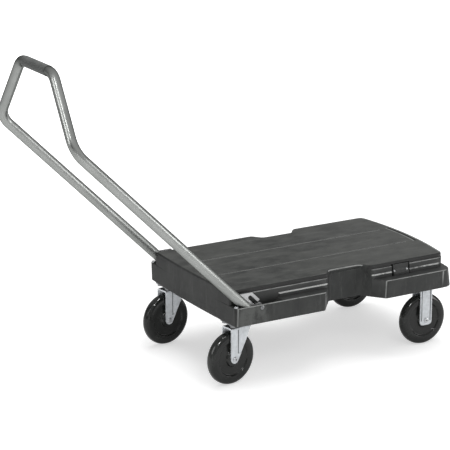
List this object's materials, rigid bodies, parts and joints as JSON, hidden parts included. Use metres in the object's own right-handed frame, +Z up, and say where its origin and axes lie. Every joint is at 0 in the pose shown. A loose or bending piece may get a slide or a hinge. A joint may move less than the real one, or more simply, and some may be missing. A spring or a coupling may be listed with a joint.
{
  "type": "furniture dolly",
  "caption": "Low waisted platform dolly on swivel and fixed casters, with a bent tube tow handle that folds over the deck into side troughs.",
  "frame": {"origin": "middle of the load deck's top face, between the handle end and the nose", "axes": "+X runs from the handle end to the nose, +Y to the left when facing the nose, +Z up, normal to the load deck"},
  "size_m": [1.0278, 0.4228, 0.7743],
  "materials": {
    "deck_plastic": "moulded structural foam, matte with scuffs",
    "handle_steel": "satin tube",
    "grip_vinyl": "thin dark sleeve",
    "nylon": "dark nylon",
    "wheel_rubber": "hard, glossy moulded",
    "fastener_steel": "zinc plated",
    "zinc_steel": "zinc plated pressed steel"
  },
  "bodies": {
    "deck": {"deck_body": "deck_plastic", "pivot_bolt_right": "fastener_steel", "pivot_bolt_left": "fastener_steel", "pivot_spacer_right": "nylon", "pivot_spacer_left": "nylon", "corner_rivet_right": "fastener_steel", "corner_rivet_left": "fastener_steel", "handle_clip_right": "nylon", "handle_clip_left": "nylon", "caster_plate_front_right": "zinc_steel", "plate_bolt_front_right_1": "fastener_steel", "plate_bolt_front_right_2": "fastener_steel", "plate_bolt_front_right_3": "fastener_steel", "plate_bolt_front_right_4": "fastener_steel", "ball_race_front_right": "zinc_steel", "kingpin_front_right": "fastener_steel", "caster_plate_front_left": "zinc_steel", "plate_bolt_front_left_1": "fastener_steel", "plate_bolt_front_left_2": "fastener_steel", "plate_bolt_front_left_3": "fastener_steel", "plate_bolt_front_left_4": "fastener_steel", "ball_race_front_left": "zinc_steel", "kingpin_front_left": "fastener_steel", "caster_plate_rear_right": "zinc_steel", "plate_bolt_rear_right_1": "fastener_steel", "plate_bolt_rear_right_2": "fastener_steel", "plate_bolt_rear_right_3": "fastener_steel", "plate_bolt_rear_right_4": "fastener_steel", "fork_rear_right": "zinc_steel", "wheel_bushing_rear_right": "zinc_steel", "axle_bolt_rear_right": "fastener_steel", "axle_nut_rear_right": "fastener_steel", "caster_plate_rear_left": "zinc_steel", "plate_bolt_rear_left_1": "fastener_steel", "plate_bolt_rear_left_2": "fastener_steel", "plate_bolt_rear_left_3": "fastener_steel", "plate_bolt_rear_left_4": "fastener_steel", "fork_rear_left": "zinc_steel", "wheel_bushing_rear_left": "zinc_steel", "axle_bolt_rear_left": "fastener_steel", "axle_nut_rear_left": "fastener_steel"},
    "handle": {"handle_tube": "handle_steel", "grip_sleeve": "grip_vinyl", "hinge_plate_right": "zinc_steel", "hinge_plate_left": "zinc_steel"},
    "swivel_front_right": {"fork_front_right": "zinc_steel", "wheel_bushing_front_right": "zinc_steel", "axle_bolt_front_right": "fastener_steel", "axle_nut_front_right": "fastener_steel"},
    "wheel_front_right": {"wheel_front_right": "wheel_rubber"},
    "swivel_front_left": {"fork_front_left": "zinc_steel", "wheel_bushing_front_left": "zinc_steel", "axle_bolt_front_left": "fastener_steel", "axle_nut_front_left": "fastener_steel"},
    "wheel_front_left": {"wheel_front_left": "wheel_rubber"},
    "wheel_rear_right": {"wheel_rear_right": "wheel_rubber"},
    "wheel_rear_left": {"wheel_rear_left": "wheel_rubber"}
  },
  "joints": [
    {"name": "handle_fold", "type": "hinge", "parent": "deck", "child": "handle", "pos_m": [-0.237, 0, -0.039], "axis": [0, 1, 0], "range_deg": [0, 135.3]},
    {"name": "swivel_front_right", "type": "hinge", "parent": "deck", "child": "swivel_front_right", "pos_m": [-0.267, -0.157, -0.09], "axis": [0, 0, 1], "continuous": true},
    {"name": "spin_front_right", "type": "hinge", "parent": "swivel_front_right", "child": "wheel_front_right", "pos_m": [-0.29275, -0.16062, -0.1655], "axis": [-0.1392, 0.9903, 0], "continuous": true},
    {"name": "swivel_front_left", "type": "hinge", "parent": "deck", "child": "swivel_front_left", "pos_m": [-0.267, 0.157, -0.09], "axis": [0, 0, 1], "continuous": true},
    {"name": "spin_front_left", "type": "hinge", "parent": "swivel_front_left", "child": "wheel_front_left", "pos_m": [-0.29275, 0.15338, -0.1655], "axis": [-0.1392, 0.9903, 0], "continuous": true},
    {"name": "spin_rear_right", "type": "hinge", "parent": "deck", "child": "wheel_rear_right", "pos_m": [0.249, -0.157, -0.1655], "axis": [0, 1, 0], "continuous": true},
    {"name": "spin_rear_left", "type": "hinge", "parent": "deck", "child": "wheel_rear_left", "pos_m": [0.249, 0.157, -0.1655], "axis": [0, 1, 0], "continuous": true}
  ]
}
